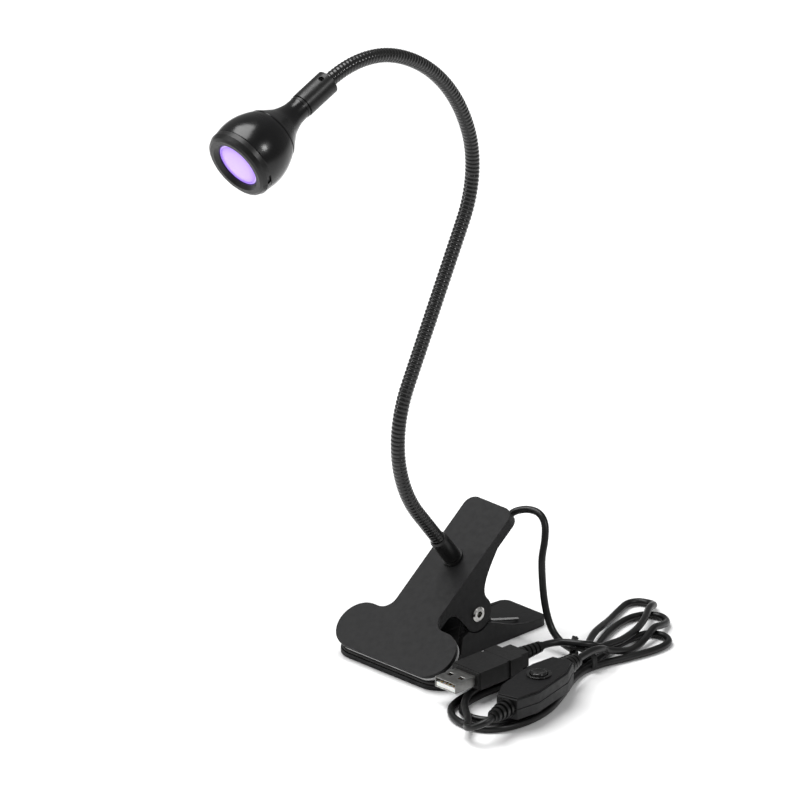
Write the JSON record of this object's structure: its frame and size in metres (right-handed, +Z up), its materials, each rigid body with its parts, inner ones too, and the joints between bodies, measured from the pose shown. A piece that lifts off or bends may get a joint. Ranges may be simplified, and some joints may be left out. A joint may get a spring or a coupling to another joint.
{
  "type": "uv curing lamp",
  "caption": "Clip-on lamp: spring clip, bendable steel neck, small ultraviolet head with a round lens, and a black lead with an in-line push switch and a plug.",
  "frame": {"origin": "on the floor, straight under the hinge pin, in the clip's middle plane", "axes": "+Z up; -Y towards the jaws' front edge and the lamp head; +X towards the side where the lead is put down"},
  "size_m": [0.1173, 0.219, 0.285],
  "materials": {
    "clip_plastic": "matte moulded",
    "pad_grey": "matte",
    "pad_dark": "matte",
    "nickel": "bright nickel",
    "neck_steel": "gloss black",
    "zinc_hardware": "zinc plated",
    "head_gloss": "gloss black",
    "head_satin": "satin black",
    "lens_clear": "frosted, violet",
    "seal_black": "matte",
    "reflector_bright": "polished",
    "board_white": "white enamelled board",
    "heat_aluminium": "machined",
    "emitter": "silicone dome",
    "lead_pvc": "satin black PVC",
    "tie_black": "matte",
    "switch_plastic": "matte moulded",
    "button_gloss": "gloss",
    "inner_plastic": "matte",
    "plug_tin": "brushed tin",
    "tongue_white": "satin",
    "contact_gold": "gold plated"
  },
  "bodies": {
    "lower_jaw": {"lower_arm": "clip_plastic", "lower_jaw_pad": "pad_dark", "torsion_spring": "nickel", "cord_drop": "lead_pvc", "cord_rear_hank": "lead_pvc", "cord_front_hank": "lead_pvc", "cord_tie": "tie_black", "cord_switch_front": "lead_pvc", "cord_switch_rear": "lead_pvc", "cord_plug_tail": "lead_pvc", "switch_base": "switch_plastic", "switch_cover": "switch_plastic", "button_ring": "button_gloss", "switch_block": "inner_plastic", "button_spring": "nickel", "switch_screws": "zinc_hardware", "switch_relief_front": "lead_pvc", "switch_relief_rear": "lead_pvc", "plug_body": "switch_plastic", "plug_shell": "plug_tin", "plug_tongue": "tongue_white", "plug_contacts": "contact_gold", "plug_relief": "lead_pvc"},
    "upper_jaw": {"upper_arm": "clip_plastic", "upper_jaw_pad": "pad_grey", "hinge_rivet": "nickel", "neck_sleeve": "neck_steel", "sleeve_nut": "zinc_hardware", "sleeve_washer": "zinc_hardware", "cord_clamp": "switch_plastic", "clamp_screws": "zinc_hardware", "cord_inside_arm": "lead_pvc", "gooseneck_1": "neck_steel"},
    "neck_2": {"gooseneck_2": "neck_steel"},
    "neck_3": {"gooseneck_3": "neck_steel"},
    "neck_4": {"gooseneck_4": "neck_steel"},
    "neck_5": {"gooseneck_5": "neck_steel"},
    "head": {"gooseneck_6": "neck_steel", "head_collar": "head_satin", "set_screw": "zinc_hardware", "head_front_shell": "head_gloss", "head_belly_shell": "head_gloss", "head_bezel": "head_satin", "lens": "lens_clear", "lens_seal": "seal_black", "reflector": "reflector_bright", "led_board": "board_white", "led_emitter": "emitter", "board_screws": "zinc_hardware", "heat_plate": "heat_aluminium"},
    "button": {"switch_button": "button_gloss"}
  },
  "joints": [
    {"name": "clip_hinge", "type": "hinge", "parent": "lower_jaw", "child": "upper_jaw", "pos_m": [0, 0, 0.0175], "axis": [-1, 0, 0], "range_deg": [0, 34], "stiffness_Nm_per_rad": 0.35, "springref_deg": -40.11, "deforming": ["torsion_spring", "cord_drop"]},
    {"name": "neck_bend_1", "type": "hinge", "parent": "upper_jaw", "child": "neck_2", "pos_m": [0, -0.02275, 0.06636], "axis": [1, 0, 0], "range_deg": [-25, 25]},
    {"name": "neck_bend_2", "type": "hinge", "parent": "neck_2", "child": "neck_3", "pos_m": [0, -0.02887, 0.12693], "axis": [0, -0.8949, 0.4462], "range_deg": [-30, 30]},
    {"name": "neck_bend_3", "type": "hinge", "parent": "neck_3", "child": "neck_4", "pos_m": [0, 0.00348, 0.19181], "axis": [1, 0, 0], "range_deg": [-25, 25]},
    {"name": "neck_bend_4", "type": "hinge", "parent": "neck_4", "child": "neck_5", "pos_m": [0, 0.00645, 0.23183], "axis": [0, -0.9511, -0.309], "range_deg": [-30, 30]},
    {"name": "neck_bend_5", "type": "hinge", "parent": "neck_5", "child": "head", "pos_m": [0, -0.03617, 0.27795], "axis": [1, 0, 0], "range_deg": [-25, 25]},
    {"name": "button_press", "type": "slide", "parent": "lower_jaw", "child": "button", "axis": [0, 0, -1], "range_m": [0, 0.0012], "stiffness_N_per_m": 400, "springref_m": -0.0008, "deforming": ["button_spring"]}
  ]
}
